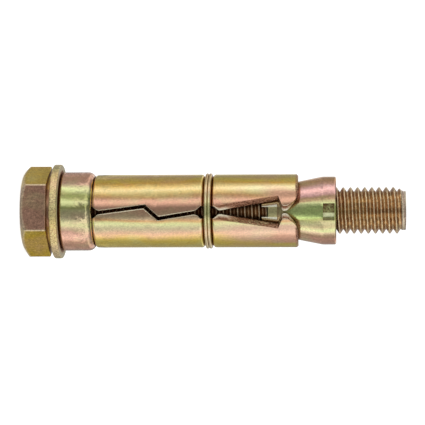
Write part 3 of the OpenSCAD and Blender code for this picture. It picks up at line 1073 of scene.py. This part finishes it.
def zinc(name, bands, wander=6, roughness=0.15, dents=0.0, zones=(), patches=(),
         speckle=0.08, tint=0.5, shelter_mm=4.0, front=None, rubbed=PALE, torn=RUSSET,
         grit=0.12, gloom=0.12):
    """Plated steel with worn edges, pitted walls and soot in its crevices.

    zones are stretches along the axis with streaks of two colours, as (start, dark, light). front is
    a stretch of one colour up to a height, as (end, colour). patches are parts of the way round that
    turn another colour along the axis, as (start, full, (first degree, last degree), colour). rubbed
    is the colour of worn edges and of painted highlights, and torn the colour of pitted walls and of
    painted shade in creases and crevices."""
    material = bpy.data.materials.new(name)
    t = Tree(material)
    place = t.add("ShaderNodeTexCoord").outputs["Object"]
    x, y, z = t.add("ShaderNodeSeparateXYZ", {"Vector": place}).outputs
    colour = film(t, place, z, t.bearing(x, y), bands, wander, tint, zones, front, patches)

    # Worn edges and painted highlights, pitted walls and painted shade, and speckles
    worn = t.add("ShaderNodeAttribute", attribute_name="worn").outputs["Fac"]
    colour = t.mix(worn, colour, (*rubbed, 1))
    cut = t.add("ShaderNodeAttribute", attribute_name="cut").outputs["Fac"]
    pits = t.noise(place, (2.4, 2.4, 2.4), 3.0, 0.7)
    pitted = t.math("MULTIPLY", cut, t.stretch(pits, 0.38, 0.62, 0.45, 1.0))
    colour = t.mix(pitted, colour, (*torn, 1))
    mottle = t.noise(place, (2.2, 2.2, 1.4), 4.0, 0.6)
    grain = t.noise(place, (3.4, 3.4, 3.0), 2.0, 0.7)
    speckles = t.swing(mottle, 1 - speckle, 1 + speckle)
    shade = t.math("MULTIPLY", speckles, t.swing(grain, 1 - grit, 1 + grit))
    grey = t.add("ShaderNodeCombineColor", {0: shade, 1: shade, 2: shade}).outputs[0]
    colour = t.mix(1.0, colour, grey, "MULTIPLY")

    # Painted shade: a dark brown laid into crevices and hollows where ambient occlusion finds them, which
    # rubbed edges keep off except in the deepest places
    shelter = t.add("ShaderNodeAmbientOcclusion", {"Distance": shelter_mm * MM}, samples=12).outputs["AO"]
    hidden = t.stretch(shelter, 0.15, 0.7, 1, 0)
    deep = t.stretch(shelter, gloom / 2, gloom, 1, 0)
    painted_shade = t.math("MULTIPLY", hidden, t.math("MAXIMUM", deep, t.stretch(worn, 0, 1, 1.0, 0.1)))
    colour = t.mix(painted_shade, colour, (*SHADE_BROWN, 1))

    # Fine grain, pits in the cut walls, and dents that grow towards the ferrule's lip
    fine = t.add("ShaderNodeBump", {"Height": grain, "Strength": 1.0, "Distance": grit * grain_depth * MM})
    bump = t.add("ShaderNodeBump", {"Height": pits, "Strength": cut, "Distance": pit_depth * MM,
                                    "Normal": fine.outputs[0]})
    if dents:
        waves = t.noise(place, (0.6, 0.6, 0.7), 2.0)
        rise = t.stretch(z, (ferrule_bottom + 3) * MM, (ferrule_top - 1.5) * MM, 0.25, 1.0)
        bump = t.add("ShaderNodeBump", {"Height": t.math("MULTIPLY", waves, rise), "Strength": 1.0,
                                        "Distance": dents * MM, "Normal": bump.outputs[0]})
    gloss = t.swing(mottle, roughness - 0.04, roughness + 0.05)
    gloss = t.math("MULTIPLY_ADD", worn, 0.3, t.math("MULTIPLY_ADD", cut, 0.12, gloss))
    shader = t.add("ShaderNodeBsdfPrincipled", {"Base Color": colour, "Metallic": 1.0, "Roughness": gloss,
                                                "Normal": bump.outputs[0]})
    t.add("ShaderNodeOutputMaterial", {"Surface": shader.outputs[0]})
    return material


# The stage, the light and the camera

def floor():
    half = 3000 * MM
    corners = [(-half, -half, 0), (half, -half, 0), (half, half, 0), (-half, half, 0)]
    mesh = bpy.data.meshes.new("floor")
    mesh.from_pydata(corners, [], [(0, 1, 2, 3)])
    plane = bpy.data.objects.new("floor", mesh)
    bpy.context.scene.collection.objects.link(plane)
    material = bpy.data.materials.new("pale_floor")
    t = Tree(material)
    shader = t.add("ShaderNodeBsdfPrincipled", {"Base Color": (0.4, 0.4, 0.4, 1), "Roughness": 0.9,
                                                "Specular IOR Level": 0.0,
                                                "Emission Color": (1, 1, 1, 1), "Emission Strength": 0.8})
    t.add("ShaderNodeOutputMaterial", {"Surface": shader.outputs[0]})
    mesh.materials.append(material)
    plane.visible_glossy = False
    plane.visible_shadow = False


# Brightness of the studio round the anchor, by degrees from the middle of its dark camera side
STUDIO = [(0, 0.22), (14, 0.24), (20, 0.32), (27, 0.74), (33, 0.98), (38, 0.95), (46, 0.58), (55, 0.48),
          (61, 0.60), (69, 0.80), (75, 1.08), (81, 1.15), (87, 0.88), (96, 0.60), (104, 0.44), (125, 0.34),
          (150, 0.32), (158, 0.62), (165, 0.74), (172, 0.48), (180, 0.28)]

# The same on the side away from the image's top, beside the windows, lobes and nut
STUDIO_LOW = [(0, 0.22), (10, 0.24), (16, 0.34), (22, 0.76), (28, 0.98), (36, 0.90), (46, 0.78), (56, 0.78),
              (62, 0.92), (69, 1.08), (75, 0.96), (82, 0.66), (90, 0.55), (104, 0.44), (125, 0.34),
              (180, 0.32)]


def strip_ramp(t, degrees, strips):
    stops = [(degree / 180, (bright, bright, bright)) for degree, bright in strips]
    return t.ramp(t.math("DIVIDE", degrees, 180.0), stops)


def studio():
    """White to the eye and on the floor, and soft strips of light along the anchor in its shine.

    The lower a place on the anchor, the further down the directions that it mirrors."""
    world = bpy.data.worlds.new("studio")
    bpy.context.scene.world = world
    t = Tree(world)
    direction = t.add("ShaderNodeTexCoord").outputs["Generated"]
    x, y, z = t.add("ShaderNodeSeparateXYZ", {"Vector": direction}).outputs
    angle = t.bearing(x, y)

    # The strips lean a little to one side along the anchor, and stand closer and upright at the ferrule
    lean = t.math("ADD", t.stretch(z, -0.113, -0.011, 4.8, -4.2), t.stretch(z, -0.2, -0.35, 0, -9))
    near = t.math("MULTIPLY", t.stretch(z, -0.118, -0.128, 0, 1), t.stretch(z, -0.147, -0.144, 0, 1))
    lean = t.math("MULTIPLY", lean, t.math("SUBTRACT", 1.0, near))
    closer = t.math("MULTIPLY", angle, t.math("MULTIPLY_ADD", near, 0.25, 1.0))
    leant = t.math("ABSOLUTE", t.math("SUBTRACT", closer, lean))
    strips = strip_ramp(t, leant, STUDIO)
    low = t.math("MULTIPLY", t.stretch(angle, 0, 8, 0, 1), t.stretch(z, -0.085, -0.045, 0, 1))
    strips = t.mix(low, strips, strip_ramp(t, angle, STUDIO_LOW))

    # A bright collar above, and dark overhead and below
    collar = t.math("MULTIPLY", t.stretch(z, 0.1, 0.25, 0, 0.7), t.stretch(z, 0.55, 0.35, 0, 1))
    strips = t.mix(collar, strips, (0.95, 0.95, 0.95, 1))
    strips = t.mix(t.stretch(z, 0.55, 0.95, 0, 1), strips, (0.14, 0.14, 0.14, 1))
    strips = t.mix(t.stretch(z, -0.55, -0.95, 0, 1), strips, (0.2, 0.2, 0.2, 1))
    shine = t.add("ShaderNodeBackground", {"Color": strips, "Strength": 1.0})
    white = t.add("ShaderNodeBackground", {"Color": (1, 1, 1, 1), "Strength": 1.15})
    glossy = t.add("ShaderNodeLightPath").outputs["Is Glossy Ray"]
    both = t.add("ShaderNodeMixShader", {0: glossy, 1: white.outputs[0], 2: shine.outputs[0]})
    t.add("ShaderNodeOutputWorld", {"Surface": both.outputs[0]})


def camera():
    turn = Matrix.Rotation(camera_turn, 3, "Z")
    place = turn @ Vector((aim_drop, -camera_distance, camera_z))
    aim = turn @ Vector((aim_drop, 0, aim_z))
    forward = (aim - place).normalized()
    right = (Vector((0, 0, 1)) - forward * forward.z).normalized()
    up = right.cross(forward)
    roll = Matrix.Rotation(-camera_roll, 3, -forward)
    right = roll @ right
    up = roll @ up
    lens = bpy.data.cameras.new("camera")
    lens.sensor_width = sensor_mm
    lens.lens = sensor_mm * (aim - place).length / (photo_px / photo_scale)
    lens.clip_start = 0.01
    eye = bpy.data.objects.new("camera", lens)
    axes = Matrix((right, up, -forward)).transposed().to_4x4()
    eye.matrix_world = Matrix.Translation(place * MM) @ axes
    bpy.context.scene.collection.objects.link(eye)
    bpy.context.scene.camera = eye


bolt_zinc = zinc("bolt_zinc", head_bands(), wander=0.5, roughness=0.22, speckle=0.16, tint=0.3,
                 rubbed=BRASS, grit=0.26, gloom=0.32,
                 zones=[(head_h, BRONZE, BRIGHT_BRONZE), (bolt_end - point_length - 0.25, STEEL, STEEL)])
washer_zinc = zinc("washer_zinc", WASHER_BANDS, roughness=0.42, speckle=0.15, grit=0.5)
ferrule_zinc = zinc("ferrule_zinc", FERRULE_BANDS, wander=8, dents=0.2, grit=0.07)
shield_zinc = zinc("shield_zinc", SHIELD_BANDS, wander=5, roughness=0.13, patches=END_PATCHES)
ring_wire = zinc("ring_wire", RING_BANDS, roughness=0.18)
nut_zinc = zinc("nut_zinc", NUT_BANDS, wander=5, grit=0.2, shelter_mm=3.2, front=(lobe_start, MOSS),
                torn=DUSK)

dress(hex_bolt(), "bolt", "hex_bolt", bolt_zinc)
dress(flat_washer(), "washer", "flat_washer", washer_zinc)
dress(ferrule(), "shield", "ferrule", ferrule_zinc)
for number in range(1, SEGMENTS + 1):
    body = f"segment_{number}"
    dress(shield_segment(number), body, f"shield_segment_{number}", shield_zinc)
    dress(wire_ring(number), body, "wire_ring", ring_wire)
dress(taper_nut(), "nut", "taper_nut", nut_zinc)

floor()
studio()
camera()
bpy.context.scene.view_settings.view_transform = "Standard"
